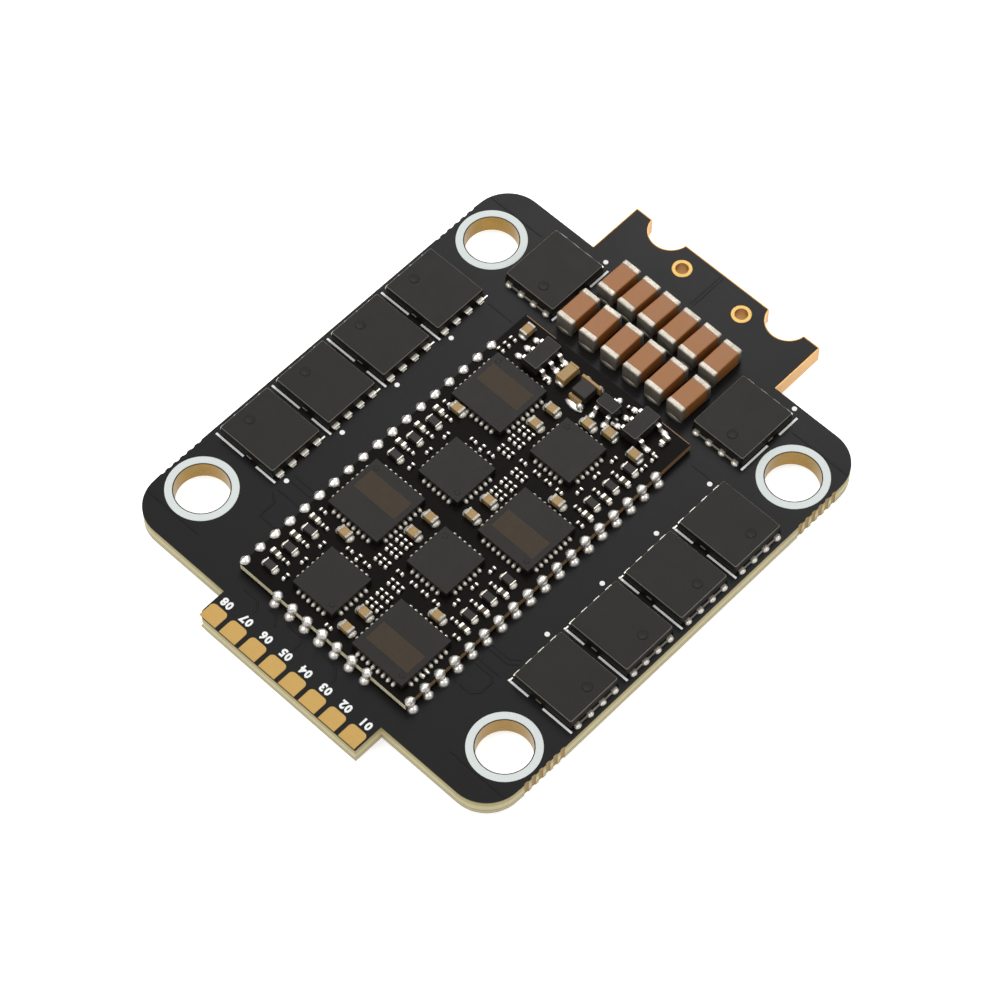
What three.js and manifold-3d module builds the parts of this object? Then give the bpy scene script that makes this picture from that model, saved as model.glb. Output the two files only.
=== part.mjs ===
// Four-channel electronic speed controller for a multirotor.
//
// A thick power board carries the half-bridge MOSFETs on both faces and the input capacitors beside
// its power tab. A thinner control board is soldered flat on top of it by plated half-holes, and
// carries one microcontroller and one gate driver for each motor, with the supply parts.
//
// Millimetres, +Z up. +Y points to the power tab and -Y to the signal tab. The origin is the centre
// of the four mounting holes, in the plane of the bare copper pads on the underside.

import * as THREE from "three";
import { mergeVertices } from "three/addons/utils/BufferGeometryUtils.js";
import Module from "manifold-3d";

// ---- Driving dimensions ----

const HOLE_PITCH = 30.5; // square pattern of mounting holes
const HOLE_RADIUS = 2.1;
const RING_RADIUS = 2.75; // outside of the ring round each mounting hole

const PAD_HEIGHT = 0.05; // bare copper and printed rings stand this far off the mask
const BOARD_WIDTH = 36.7;
const BOARD_LENGTH = 40.2;
const BOARD_THICKNESS = 1.6;
const BOARD_CORNER = 3;
const BOARD_TOP = PAD_HEIGHT + BOARD_THICKNESS;

const POWER_TAB = { width: 18.5, end: 25.05 };
const BATTERY_NOTCH = { radius: 1.73, x: 5.95, y: 25.24 }; // half-round seat of a battery wire
const CAPACITOR_VIA = { radius: 0.5, x: 3, y: 23.27 }; // lead hole of an added capacitor
const BATTERY_PAD = { inner: 0.6, outer: 9, from: 20.4, to: 24.9 };

const SIGNAL_TAB = { width: 15.85, end: -22.7, corner: 0.6 };
const SIGNAL_PAD = { count: 8, pitch: 2, width: 1.6, from: -22.6, to: -21.2 };
const MOTOR_PAD = { perSide: 6, pitch: 4, width: 2.8, inner: 15, outer: 18.1 };
const GROUND_STRIP = { width: 4, length: 18 }; // bare copper down the middle of the underside

const MODULE_WIDTH = 16.6;
const MODULE_LENGTH = 29.8;
const MODULE_THICKNESS = 0.8;
const MODULE_CENTRE_Y = -3.13;
const MODULE_TOP = BOARD_TOP + MODULE_THICKNESS;
const HALF_HOLE = { radius: 0.4, pitch: 1.5, perSide: 18, perEnd: 7, highest: 7.95 };

const MOSFET = { long: 5.75, wide: 4.9, height: 0.95, leadSpan: 6.2, leadWidth: 0.5, leadHeight: 0.25 };
const MOSFET_LEAD_PITCH = 1.27;
const COLUMN_MOSFET = { x: 14.88, pitch: 5.75, perColumn: 4, middle: 0.02 };
const TAB_MOSFET = { x: 9.5, y: 16.1 };
const LOWER_MOSFET = { x: 9, pitch: 5.2, perColumn: 7 };

const QUAD_HEIGHT = 0.6; // flat leadless packages
const PIN_ONE = { radius: 0.25, inset: 0.7, depth: 0.05 }; // dimple at a flat package's first pin
const MCU_SIDE = 5;
const DRIVER_SIDE = 4;
const CELL_CENTRES_Y = [1.56, -11.24]; // each cell holds two channels, half a turn apart
const MCU_OFFSET = { x: -4.75, y: 3.54 };
const DRIVER_OFFSET = { x: 2.35, y: 3.4 };

const CHIP_1206 = { length: 3.2, width: 1.6, height: 1.6, end: 0.5 };
const CHIP_0603 = { length: 1.7, width: 0.85, height: 0.8, end: 0.3 };
const CHIP_0402 = { length: 1.1, width: 0.75, height: 0.6, end: 0.2 };
const END_PROUD = 0.03; // a chip's metal ends stand this far off its body
const INPUT_ROWS = [
  { y: 18.55, pitch: 2.04 },
  { y: 14.6, pitch: 2.22 },
];
const INPUT_PER_ROW = 6;
const INPUT_MIDDLE_X = -0.07;

const GULL_WING = { base: 0.1, height: 1.05, leadWidth: 0.4, leadHeight: 0.3 };
const THREE_LEADS = [-0.95, 0, 0.95];
const TWO_LEADS = [-0.95, 0.95];
const BUCK = { wide: 1.5, long: 2.9, span: 2.8, left: THREE_LEADS, right: THREE_LEADS, x: -4.65, y: 9.6 };
const REGULATOR = { wide: 1.5, long: 2.9, span: 2.8, left: THREE_LEADS, right: TWO_LEADS, x: 4.8, y: 10.15 };
const TRANSISTOR = { wide: 1.2, long: 1.8, span: 2.1, left: [0], right: [-0.6, 0.6], x: 1.95, y: 9.75 };
const BUCK_CAPACITOR = { x: -2.25, y: 9.8 };
const SUPPLY_CAPACITORS = [
  { x: -7.1, y: 10.6, turns: 1 },
  { x: 6.05, y: 8.1, turns: 0 },
  { x: 3.5, y: 8.2, turns: 0 },
];
const SHUNT = { length: 6.3, width: 3.2, height: 0.6, end: 0.9, y: 13.9 };
const INDUCTOR = { length: 2.5, width: 2, height: 1, end: 0.55, x: -0.3, y: 9.5 };

const ROUND = 40; // sides of a mounting hole
const SMALL_ROUND = 12; // sides of a via or a half-hole
const BITE = 0.2; // how far joined bodies run into each other

// ---- Materials ----

const finish = (color, roughness, metalness) =>
  new THREE.MeshStandardMaterial({ color, roughness, metalness });

const boardMask = finish(0x232122, 0.45, 0);
const moduleMask = finish(0x2b2724, 0.5, 0);
const mouldedPackage = finish(0x1f1e1c, 0.65, 0);
const flatPackage = finish(0x1a1a1b, 0.6, 0);
const ceramic = finish(0xa8683f, 0.5, 0);
const tanCeramic = finish(0xb08c5c, 0.55, 0);
const ferrite = finish(0x2a2826, 0.7, 0);
const shuntMetal = finish(0x8d8f92, 0.35, 1);

// ---- Solids ----

const wasm = await Module();
wasm.setup();

function toSolid(geometry) {
  const bare = geometry.clone();
  bare.deleteAttribute("normal");
  bare.deleteAttribute("uv");
  const merged = mergeVertices(bare, 1e-4);
  return new wasm.Manifold(
    new wasm.Mesh({
      numProp: 3,
      vertProperties: new Float32Array(merged.attributes.position.array),
      triVerts: new Uint32Array(merged.index.array),
    }),
  );
}

// Joins the first list of geometries and cuts the second list out of the result.
function joinAndCut(added, cut = []) {
  let solid = toSolid(added[0]);
  for (const geometry of added.slice(1)) solid = solid.add(toSolid(geometry));
  for (const geometry of cut) solid = solid.subtract(toSolid(geometry));
  const mesh = solid.getMesh();
  return new THREE.BufferGeometry()
    .setAttribute("position", new THREE.BufferAttribute(new Float32Array(mesh.vertProperties), 3))
    .setIndex(new THREE.BufferAttribute(new Uint32Array(mesh.triVerts), 1));
}

// A box between two corners.
function block([x0, y0, z0], [x1, y1, z1]) {
  const box = new THREE.BoxGeometry(x1 - x0, y1 - y0, z1 - z0);
  return box.translate((x0 + x1) / 2, (y0 + y1) / 2, (z0 + z1) / 2);
}

// A box centred on the Z axis that stands on the height `base`.
function standing(long, wide, base, top) {
  return block([-long / 2, -wide / 2, base], [long / 2, wide / 2, top]);
}

function post(radius, x, y, base, top, sides) {
  const cylinder = new THREE.CylinderGeometry(radius, radius, top - base, sides);
  return cylinder.rotateX(Math.PI / 2).translate(x, y, (base + top) / 2);
}

const evenly = (count, pitch, middle = 0) =>
  Array.from({ length: count }, (_, i) => middle + (i - (count - 1) / 2) * pitch);

// ---- Power board ----

const holeCentres = [];
for (const side of [-1, 1]) {
  for (const end of [-1, 1]) holeCentres.push([(side * HOLE_PITCH) / 2, (end * HOLE_PITCH) / 2]);
}

function boardOutline() {
  const x = BOARD_WIDTH / 2;
  const y = BOARD_LENGTH / 2;
  const r = BOARD_CORNER;
  const power = POWER_TAB.width / 2;
  const signal = SIGNAL_TAB.width / 2;
  const c = SIGNAL_TAB.corner;
  const outline = new THREE.Shape();
  outline.moveTo(x, -y + r);
  outline.lineTo(x, y - r);
  outline.absarc(x - r, y - r, r, 0, Math.PI / 2);
  outline.lineTo(power, y);
  outline.lineTo(power, POWER_TAB.end);
  outline.lineTo(-power, POWER_TAB.end);
  outline.lineTo(-power, y);
  outline.lineTo(-x + r, y);
  outline.absarc(-x + r, y - r, r, Math.PI / 2, Math.PI);
  outline.lineTo(-x, -y + r);
  outline.absarc(-x + r, -y + r, r, Math.PI, 1.5 * Math.PI);
  outline.lineTo(-signal, -y);
  outline.lineTo(-signal, SIGNAL_TAB.end + c);
  outline.absarc(-signal + c, SIGNAL_TAB.end + c, c, Math.PI, 1.5 * Math.PI);
  outline.lineTo(signal, SIGNAL_TAB.end);
  outline.lineTo(signal, -y);
  outline.lineTo(x - r, -y);
  outline.absarc(x - r, -y + r, r, 1.5 * Math.PI, 2 * Math.PI);
  return outline;
}

function mainBoardGeometry() {
  const laminate = new THREE.ExtrudeGeometry(boardOutline(), {
    depth: BOARD_THICKNESS,
    bevelEnabled: false,
    curveSegments: 8,
  }).translate(0, 0, PAD_HEIGHT);
  const copperTop = BOARD_TOP + PAD_HEIGHT;
  const added = [laminate];
  const cut = [];
  for (const [x, y] of holeCentres) {
    added.push(post(RING_RADIUS, x, y, 0, copperTop, ROUND));
    cut.push(post(HOLE_RADIUS, x, y, -1, copperTop + 1, ROUND));
  }
  for (const x of evenly(SIGNAL_PAD.count, SIGNAL_PAD.pitch)) {
    const half = SIGNAL_PAD.width / 2;
    added.push(block([x - half, SIGNAL_PAD.from, 0], [x + half, SIGNAL_PAD.to, copperTop]));
  }
  for (const side of [-1, 1]) {
    for (const y of evenly(MOTOR_PAD.perSide, MOTOR_PAD.pitch)) {
      const [near, far] = [side * MOTOR_PAD.inner, side * MOTOR_PAD.outer].sort((a, b) => a - b);
      const half = MOTOR_PAD.width / 2;
      added.push(block([near, y - half, 0], [far, y + half, PAD_HEIGHT + BITE]));
    }
    const [near, far] = [side * BATTERY_PAD.inner, side * BATTERY_PAD.outer].sort((a, b) => a - b);
    added.push(block([near, BATTERY_PAD.from, 0], [far, BATTERY_PAD.to, PAD_HEIGHT + BITE]));
    const notch = [side * BATTERY_NOTCH.x, BATTERY_NOTCH.y, -1, copperTop + 1, ROUND];
    cut.push(post(BATTERY_NOTCH.radius, ...notch));
    const via = [side * CAPACITOR_VIA.x, CAPACITOR_VIA.y, -1, copperTop + 1, SMALL_ROUND];
    cut.push(post(CAPACITOR_VIA.radius, ...via));
  }
  added.push(standing(GROUND_STRIP.width, GROUND_STRIP.length, 0, PAD_HEIGHT + BITE));
  return joinAndCut(added, cut);
}

// ---- Control board ----

function controlBoardGeometry() {
  const halfWidth = MODULE_WIDTH / 2;
  const halfLength = MODULE_LENGTH / 2;
  const low = MODULE_CENTRE_Y - halfLength;
  const laminate = block([-halfWidth, low, BOARD_TOP], [halfWidth, low + MODULE_LENGTH, MODULE_TOP]);
  const halfHole = (x, y) => post(HALF_HOLE.radius, x, y, BOARD_TOP - 1, MODULE_TOP + 1, SMALL_ROUND);
  const cut = [];
  for (let row = 0; row < HALF_HOLE.perSide; row++) {
    const y = HALF_HOLE.highest - row * HALF_HOLE.pitch;
    cut.push(halfHole(-halfWidth, y), halfHole(halfWidth, y));
  }
  for (const x of evenly(HALF_HOLE.perEnd, HALF_HOLE.pitch)) cut.push(halfHole(x, low));
  return joinAndCut([laminate], cut);
}

// ---- Packages: each stands on z = 0 with its long side along X ----

function mosfetGeometry() {
  const { long, wide, height, leadSpan, leadWidth, leadHeight } = MOSFET;
  const leads = evenly(4, MOSFET_LEAD_PITCH).map((y) =>
    block([-leadSpan / 2, y - leadWidth / 2, 0], [leadSpan / 2, y + leadWidth / 2, leadHeight]),
  );
  return joinAndCut([standing(long, wide, 0, height), ...leads]);
}

function quadPackageGeometry(side) {
  const { radius, inset, depth } = PIN_ONE;
  const edge = side / 2 - inset;
  const dimple = post(radius, -edge, edge, QUAD_HEIGHT - depth, QUAD_HEIGHT + 1, SMALL_ROUND);
  return joinAndCut([standing(side, side, 0, QUAD_HEIGHT)], [dimple]);
}

// A block with metal ends that stand slightly proud of its body.
function endedChipGeometry({ length, width, height, end }) {
  const body = standing(length - end, width - 2 * END_PROUD, END_PROUD, height - END_PROUD);
  const ends = [-1, 1].map((side) => {
    const middle = (side * (length - end)) / 2;
    return block([middle - end / 2, -width / 2, 0], [middle + end / 2, width / 2, height]);
  });
  return joinAndCut([body, ...ends]);
}

// A small gull-wing package: a raised body with leads on its two long sides.
function gullWingGeometry({ wide, long, span, left, right }) {
  const { base, height, leadWidth, leadHeight } = GULL_WING;
  const leads = [];
  for (const [side, rows] of [[-1, left], [1, right]]) {
    for (const y of rows) {
      const [near, far] = [side * (wide / 2 - BITE), (side * span) / 2].sort((a, b) => a - b);
      leads.push(block([near, y - leadWidth / 2, 0], [far, y + leadWidth / 2, leadHeight]));
    }
  }
  return joinAndCut([standing(wide, long, base, height), ...leads]);
}

// ---- Assembly ----

const assembly = new THREE.Group();
const QUARTER = Math.PI / 2;

// turns is in quarter turns about +Z; a flipped piece hangs from z instead of standing on it.
function place(name, geometry, material, x, y, z, turns = 0, flipped = false) {
  const placed = geometry.clone();
  if (flipped) placed.rotateX(Math.PI);
  placed.rotateZ(turns * QUARTER);
  const mesh = new THREE.Mesh(placed, material);
  mesh.name = name;
  mesh.position.set(x, y, z);
  assembly.add(mesh);
}

place("main_board", mainBoardGeometry(), boardMask, 0, 0, 0);
place("control_board", controlBoardGeometry(), moduleMask, 0, 0, 0);

const mosfet = mosfetGeometry();
const upper = [];
for (const side of [-1, 1]) {
  for (const y of evenly(COLUMN_MOSFET.perColumn, COLUMN_MOSFET.pitch, COLUMN_MOSFET.middle)) {
    upper.push([side * COLUMN_MOSFET.x, y, side < 0 ? 0 : 2]);
  }
  upper.push([side * TAB_MOSFET.x, TAB_MOSFET.y, 1]);
}
upper.forEach(([x, y, turns], i) => {
  place(`upper_mosfet_${i + 1}`, mosfet, mouldedPackage, x, y, BOARD_TOP, turns);
});

const lower = [];
for (const side of [-1, 1]) {
  const rows = evenly(LOWER_MOSFET.perColumn, LOWER_MOSFET.pitch);
  for (const y of rows) lower.push([side * LOWER_MOSFET.x, y, side < 0 ? 0 : 2]);
}
lower.forEach(([x, y, turns], i) => {
  place(`lower_mosfet_${i + 1}`, mosfet, mouldedPackage, x, y, PAD_HEIGHT, turns, true);
});

const inputCapacitor = endedChipGeometry(CHIP_1206);
INPUT_ROWS.forEach(({ y, pitch }, row) => {
  evenly(INPUT_PER_ROW, pitch, INPUT_MIDDLE_X).forEach((x, i) => {
    const name = `input_capacitor_${row * INPUT_PER_ROW + i + 1}`;
    place(name, inputCapacitor, ceramic, x, y, BOARD_TOP, 1);
  });
});

const mcu = quadPackageGeometry(MCU_SIDE);
const driver = quadPackageGeometry(DRIVER_SIDE);
let channel = 0;
for (const middle of CELL_CENTRES_Y) {
  for (const turn of [1, -1]) {
    channel += 1;
    const half = turn > 0 ? 0 : 2;
    const [mx, my] = [turn * MCU_OFFSET.x, middle + turn * MCU_OFFSET.y];
    const [dx, dy] = [turn * DRIVER_OFFSET.x, middle + turn * DRIVER_OFFSET.y];
    place(`microcontroller_${channel}`, mcu, flatPackage, mx, my, MODULE_TOP, half);
    place(`gate_driver_${channel}`, driver, flatPackage, dx, dy, MODULE_TOP, half);
  }
}

place("buck_converter", gullWingGeometry(BUCK), flatPackage, BUCK.x, BUCK.y, MODULE_TOP);
place("linear_regulator", gullWingGeometry(REGULATOR), flatPackage, REGULATOR.x, REGULATOR.y, MODULE_TOP);
const transistor = gullWingGeometry(TRANSISTOR);
place("supply_transistor", transistor, flatPackage, TRANSISTOR.x, TRANSISTOR.y, MODULE_TOP, 3);
place("power_inductor", endedChipGeometry(INDUCTOR), ferrite, INDUCTOR.x, INDUCTOR.y, MODULE_TOP, 1);

const bulkCapacitor = endedChipGeometry(CHIP_0603);
place("buck_capacitor", bulkCapacitor, tanCeramic, BUCK_CAPACITOR.x, BUCK_CAPACITOR.y, MODULE_TOP, 1);
const smallCapacitor = endedChipGeometry(CHIP_0402);
SUPPLY_CAPACITORS.forEach(({ x, y, turns }, i) => {
  place(`supply_capacitor_${i + 1}`, smallCapacitor, tanCeramic, x, y, MODULE_TOP, turns);
});

place("current_shunt", endedChipGeometry(SHUNT), shuntMetal, 0, SHUNT.y, PAD_HEIGHT, 1, true);

export default assembly;
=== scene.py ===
"""Looks of a four-channel speed controller: a power board with a control board soldered on top.

Lengths are in millimetres until a piece is made, when they are scaled to metres. The frame is the
CAD model's: +Y to the power tab, +Z up, the origin between the four mounting holes.
"""

import functools
import math
import random

import bmesh
import bpy
from mathutils import Matrix, Vector
from mathutils.geometry import delaunay_2d_cdt


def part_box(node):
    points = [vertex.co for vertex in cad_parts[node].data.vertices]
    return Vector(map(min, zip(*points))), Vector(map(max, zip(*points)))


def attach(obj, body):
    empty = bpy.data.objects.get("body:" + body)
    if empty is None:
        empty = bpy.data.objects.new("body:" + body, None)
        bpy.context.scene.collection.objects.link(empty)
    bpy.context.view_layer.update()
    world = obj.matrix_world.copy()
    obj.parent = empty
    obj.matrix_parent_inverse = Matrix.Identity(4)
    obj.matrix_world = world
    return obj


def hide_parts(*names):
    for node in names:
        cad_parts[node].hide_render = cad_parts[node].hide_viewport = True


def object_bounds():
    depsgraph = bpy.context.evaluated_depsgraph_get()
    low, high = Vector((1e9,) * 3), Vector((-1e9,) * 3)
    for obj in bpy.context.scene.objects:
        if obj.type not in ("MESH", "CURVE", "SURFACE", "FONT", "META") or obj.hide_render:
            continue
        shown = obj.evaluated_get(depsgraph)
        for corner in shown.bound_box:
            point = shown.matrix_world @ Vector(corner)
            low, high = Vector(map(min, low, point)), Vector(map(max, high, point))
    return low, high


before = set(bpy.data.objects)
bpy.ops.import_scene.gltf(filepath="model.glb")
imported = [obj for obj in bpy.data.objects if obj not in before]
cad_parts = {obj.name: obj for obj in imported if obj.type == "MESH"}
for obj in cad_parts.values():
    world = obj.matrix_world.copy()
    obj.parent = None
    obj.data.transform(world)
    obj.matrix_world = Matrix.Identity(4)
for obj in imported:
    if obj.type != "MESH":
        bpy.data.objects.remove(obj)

cad_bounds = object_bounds()
dice = random.Random(7)
MM = 0.001

# ---- Places taken from the frame ----


def node_box(name):
    """Lowest and highest corner of a CAD node, in millimetres."""
    low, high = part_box(name)
    return low / MM, high / MM


def node_centre(name):
    low, high = node_box(name)
    return (low + high) / 2


BOARD_LOW, BOARD_HIGH = node_box("main_board")
MODULE_LOW, MODULE_HIGH = node_box("control_board")
PAD = 0.05  # bare copper and prints stand this far off the solder mask
TOP = MODULE_LOW.z  # the power board's upper face, which the control board lies on
UNDER = BOARD_LOW.z + PAD
MODULE_TOP = MODULE_HIGH.z
FLOOR = cad_bounds[0].z / MM

HOLE = 15.25
HOLE_RADIUS = 2.1
RING_OUTER = 2.75
RING_INNER = 2.18
HALF_WIDTH = BOARD_HIGH.x
HALF_LENGTH = 20.1
CORNER = 3.0
POWER_HALF = 9.25
POWER_END = BOARD_HIGH.y
SIGNAL_HALF = 7.92
SIGNAL_END = BOARD_LOW.y
NOTCH = (5.95, 25.24, 1.73)  # x, y and radius of a battery notch
VIA = (3.0, 23.27, 0.5, 0.8)  # x, y, hole radius and ring radius
SIGNAL_XS = [-7 + 2 * i for i in range(8)]
MOTOR_YS = [-10 + 4 * i for i in range(6)]

# ---- Materials ----


def linear(r, g, b):
    """A colour of 0 to 255 per channel, as linear values."""
    parts = (v / 255 for v in (r, g, b))
    return tuple(v / 12.92 if v <= 0.04045 else ((v + 0.055) / 1.055) ** 2.4 for v in parts)


def finish(
    name, colour, rough, metal=0.0, speck=400, vary=0.12, bump=0.1, depth=0.004, gloss=0.5, stretch=(1, 1, 1),
    bands=(),
):
    """A procedural finish. speck sets the grain's noise scale, vary how far the colour drifts, bump and
    depth (mm) the relief, gloss the specular level, and stretch squeezes the grain along an axis. bands
    are stops of (height in mm, colour), blended by height and tinted by the grain: layers on one finish,
    painted shade on another."""
    material = bpy.data.materials.new(name)
    material.use_nodes = True
    nodes, links = material.node_tree.nodes, material.node_tree.links
    shader = nodes["Principled BSDF"]
    shader.inputs["Metallic"].default_value = metal
    shader.inputs["Specular IOR Level"].default_value = gloss
    place = nodes.new("ShaderNodeTexCoord")
    mapping = nodes.new("ShaderNodeMapping")
    mapping.inputs["Scale"].default_value = stretch
    links.new(place.outputs["Object"], mapping.inputs["Vector"])

    def noise(scale, detail):
        texture = nodes.new("ShaderNodeTexNoise")
        texture.inputs["Scale"].default_value = scale
        texture.inputs["Detail"].default_value = detail
        links.new(mapping.outputs["Vector"], texture.inputs["Vector"])
        return texture.outputs["Fac"]

    fine = noise(speck * 10, 4)
    broad = noise(speck, 2)
    dark = tuple(c * (1 - vary) for c in colour)
    light = tuple(min(1, c * (1 + vary)) for c in colour)
    ramp = nodes.new("ShaderNodeValToRGB")
    ramp.color_ramp.elements[0].position = 0.3
    ramp.color_ramp.elements[1].position = 0.7
    ramp.color_ramp.elements[0].color = (*dark, 1)
    ramp.color_ramp.elements[1].color = (*light, 1)
    both = nodes.new("ShaderNodeMath")
    both.operation = "MULTIPLY_ADD"
    both.inputs[1].default_value = 0.5
    half = nodes.new("ShaderNodeMath")
    half.operation = "MULTIPLY"
    half.inputs[1].default_value = 0.5
    links.new(broad, half.inputs[0])
    links.new(fine, both.inputs[0])
    links.new(half.outputs["Value"], both.inputs[2])
    links.new(both.outputs["Value"], ramp.inputs["Fac"])
    tint = ramp.outputs["Color"]
    if bands:
        split = nodes.new("ShaderNodeSeparateXYZ")
        links.new(place.outputs["Object"], split.inputs["Vector"])
        level = nodes.new("ShaderNodeMapRange")
        level.inputs["From Min"].default_value = bands[0][0] * MM
        level.inputs["From Max"].default_value = bands[-1][0] * MM
        links.new(split.outputs["Z"], level.inputs["Value"])
        layers = nodes.new("ShaderNodeValToRGB")
        for i, (height, shade) in enumerate(bands):
            spot = (height - bands[0][0]) / (bands[-1][0] - bands[0][0])
            inner = 0 < i < len(bands) - 1
            stops = layers.color_ramp.elements
            stop = stops.new(spot) if inner else stops[-1 if i else 0]
            stop.color = (*shade, 1)
        links.new(level.outputs["Result"], layers.inputs["Fac"])
        blend = nodes.new("ShaderNodeMix")
        blend.data_type = "RGBA"
        blend.blend_type = "MULTIPLY"
        blend.inputs["Factor"].default_value = 1
        links.new(layers.outputs["Color"], blend.inputs["A"])
        links.new(tint, blend.inputs["B"])
        tint = blend.outputs["Result"]
    links.new(tint, shader.inputs["Base Color"])
    wear = nodes.new("ShaderNodeMapRange")
    wear.inputs["To Min"].default_value = max(0.02, rough - 0.08)
    wear.inputs["To Max"].default_value = min(1, rough + 0.08)
    links.new(broad, wear.inputs["Value"])
    links.new(wear.outputs["Result"], shader.inputs["Roughness"])
    relief = nodes.new("ShaderNodeBump")
    relief.inputs["Strength"].default_value = bump
    relief.inputs["Distance"].default_value = depth * MM
    links.new(fine, relief.inputs["Height"])
    links.new(relief.outputs["Normal"], shader.inputs["Normal"])
    return material


MASK = finish(
    "board_solder_mask", (0.0066, 0.0060, 0.0061), 0.34,
    vary=0.10, speck=180, bump=0.25, depth=0.01, gloss=0.12,
)
MODULE_MASK = finish(
    "control_solder_mask", (0.0050, 0.0040, 0.0033), 0.42,
    vary=0.25, speck=500, bump=0.3, depth=0.01, gloss=0.04,
)
MOULDED = finish(
    "moulded_epoxy", (0.0135, 0.0122, 0.0100), 0.5, vary=0.16, speck=700, bump=0.5, depth=0.01, gloss=0.17,
)
# A lighter grey for the narrow bevel along a moulded body's top edge: a painted highlight.
EDGE = finish("moulded_top_edge_highlight", linear(120, 115, 106), 0.4, vary=0.25, speck=900, bump=0.3, depth=0.008)
CHIP = finish(
    "chip_epoxy", (0.0120, 0.0104, 0.0088), 0.48, vary=0.22, speck=700, bump=0.4, depth=0.008, gloss=0.2,
)
MARKED = finish(
    "lasered_epoxy", (0.043, 0.0295, 0.0165), 0.55, vary=0.18, speck=900, bump=0.4, depth=0.008, gloss=0.2,
)
CERAMIC = finish(
    "capacitor_ceramic", (0.31, 0.120, 0.030), 0.42, vary=0.07, speck=700, bump=0.3, depth=0.01, gloss=0.35,
)
TAN = finish(
    "tan_ceramic", (0.36, 0.225, 0.078), 0.42, vary=0.10, speck=900, bump=0.3, depth=0.01, gloss=0.35,
)
GREY_CERAMIC = finish(
    "grey_ceramic", linear(80, 72, 55), 0.5, vary=0.15, speck=900, bump=0.3, depth=0.01, gloss=0.3,
)
FERRITE = finish("ferrite", linear(44, 40, 38), 0.6, vary=0.15, speck=900, bump=0.5, depth=0.01, gloss=0.3)
TIN = finish("tinned_end", (0.29, 0.265, 0.225), 0.36, metal=0.55, vary=0.5, speck=700, bump=0.5, depth=0.02)
SOLDER = finish("solder", (0.90, 0.87, 0.82), 0.36, metal=1.0, vary=0.06, speck=500, bump=0.05, depth=0.005)
GOLD = finish(
    "gold_plating", (0.36, 0.225, 0.066), 0.36, metal=0.75, vary=0.05, speck=300, bump=0.15, depth=0.01,
)
COPPER = finish(
    "plated_wall", (0.58, 0.33, 0.11), 0.42, metal=0.75, vary=0.14, speck=800, bump=0.5, depth=0.02,
)
# Plating inside the mounting holes: its own plated tone, darkened below the plating elsewhere as painted
# shade in the holes.
SHADED_HOLE_PLATING = finish(
    "hole_plating_with_painted_shade", (0.30, 0.18, 0.038), 0.3, metal=0.95, vary=0.2, speck=600, bump=0.5, depth=0.02,
)
KHAKI, CREAM = linear(168, 154, 96), linear(190, 180, 140)
SEAM, GLAZE = linear(120, 112, 84), linear(58, 50, 40)
# Painted shade on the capacitor ends: darkest at the foot, lightening up to the unchanged colour at the top.
FOOT_SHADE_BANDS = ((TOP, (0.4,) * 3), (TOP + 0.5, (0.6,) * 3), (TOP + 1.3, (0.8,) * 3), (TOP + 1.62, (1.0,) * 3))
BOARD_BANDS = (
    (UNDER, SEAM), (UNDER + 0.12, KHAKI), (UNDER + 0.3, CREAM), (UNDER + 0.42, SEAM), (UNDER + 0.5, CREAM),
    (UNDER + 1.0, CREAM), (UNDER + 1.1, KHAKI), (TOP - 0.14, KHAKI), (TOP - 0.06, GLAZE), (TOP, GLAZE),
)
# Tinned capacitor ends, with painted shade that darkens them towards the board.
CAP_END_WITH_PAINTED_SHADE = finish(
    "cap_end_with_painted_shade", (0.38, 0.345, 0.29), 0.36,
    metal=0.5, vary=0.5, speck=1100, bump=0.6, depth=0.02, bands=FOOT_SHADE_BANDS,
)
LAMINATE = finish(
    "laminate_edge", (0.9, 0.9, 0.9), 0.65, vary=0.1, speck=300, bump=0.6, depth=0.02, bands=BOARD_BANDS,
)
BITE = finish("drilled_edge", linear(142, 112, 48), 0.6, metal=0.1, vary=0.3, speck=900, bump=0.6, depth=0.02)
TAB_EDGE = finish("control_board_end", linear(232, 224, 186), 0.6, vary=0.15, speck=400, bump=0.6, depth=0.02)
BROWN_EDGE = finish(
    "control_board_edge", linear(148, 116, 78), 0.6, vary=0.2, speck=400, bump=0.6, depth=0.02,
)
PRINT = finish("white_print", linear(214, 221, 218), 0.6, vary=0.03, speck=900, bump=0.3, depth=0.01)
BRIGHT_PRINT = finish(
    "fine_white_print", linear(240, 242, 240), 0.6, vary=0.02, speck=900, bump=0.2, depth=0.01,
)
DULL_SOLDER = finish(
    "dull_solder", (0.80, 0.76, 0.67), 0.36, metal=0.6, vary=0.15, speck=700, bump=0.1, depth=0.005,
)
ALLOY = finish(
    "shunt_alloy", (0.45, 0.43, 0.40), 0.35,
    metal=0.9, vary=0.1, speck=400, bump=0.4, depth=0.02, stretch=(1, 12, 1),
)

# ---- Forms: closed surfaces in millimetres ----


class Form:
    """Points, faces, each face's material number and whether it is shaded smooth."""

    def __init__(self):
        self.points, self.faces, self.kinds, self.smooth = [], [], [], []

    def add(self, other, matrix=None):
        start = len(self.points)
        if matrix is None:
            self.points += other.points
        else:
            self.points += [matrix @ p for p in other.points]
        self.faces += [tuple(start + i for i in face) for face in other.faces]
        self.kinds += other.kinds
        self.smooth += other.smooth
        return self


def at(x=0.0, y=0.0, z=0.0, turn=0.0, flip=False, size=(1, 1, 1)):
    """A placing: scaled, flipped to hang upside down, turned about +Z by degrees, then moved."""
    matrix = Matrix.Translation((x, y, z)) @ Matrix.Rotation(math.radians(turn), 4, "Z")
    if flip:
        matrix = matrix @ Matrix.Rotation(math.pi, 4, "X")
    return matrix @ Matrix.Diagonal((*size, 1))


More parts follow.
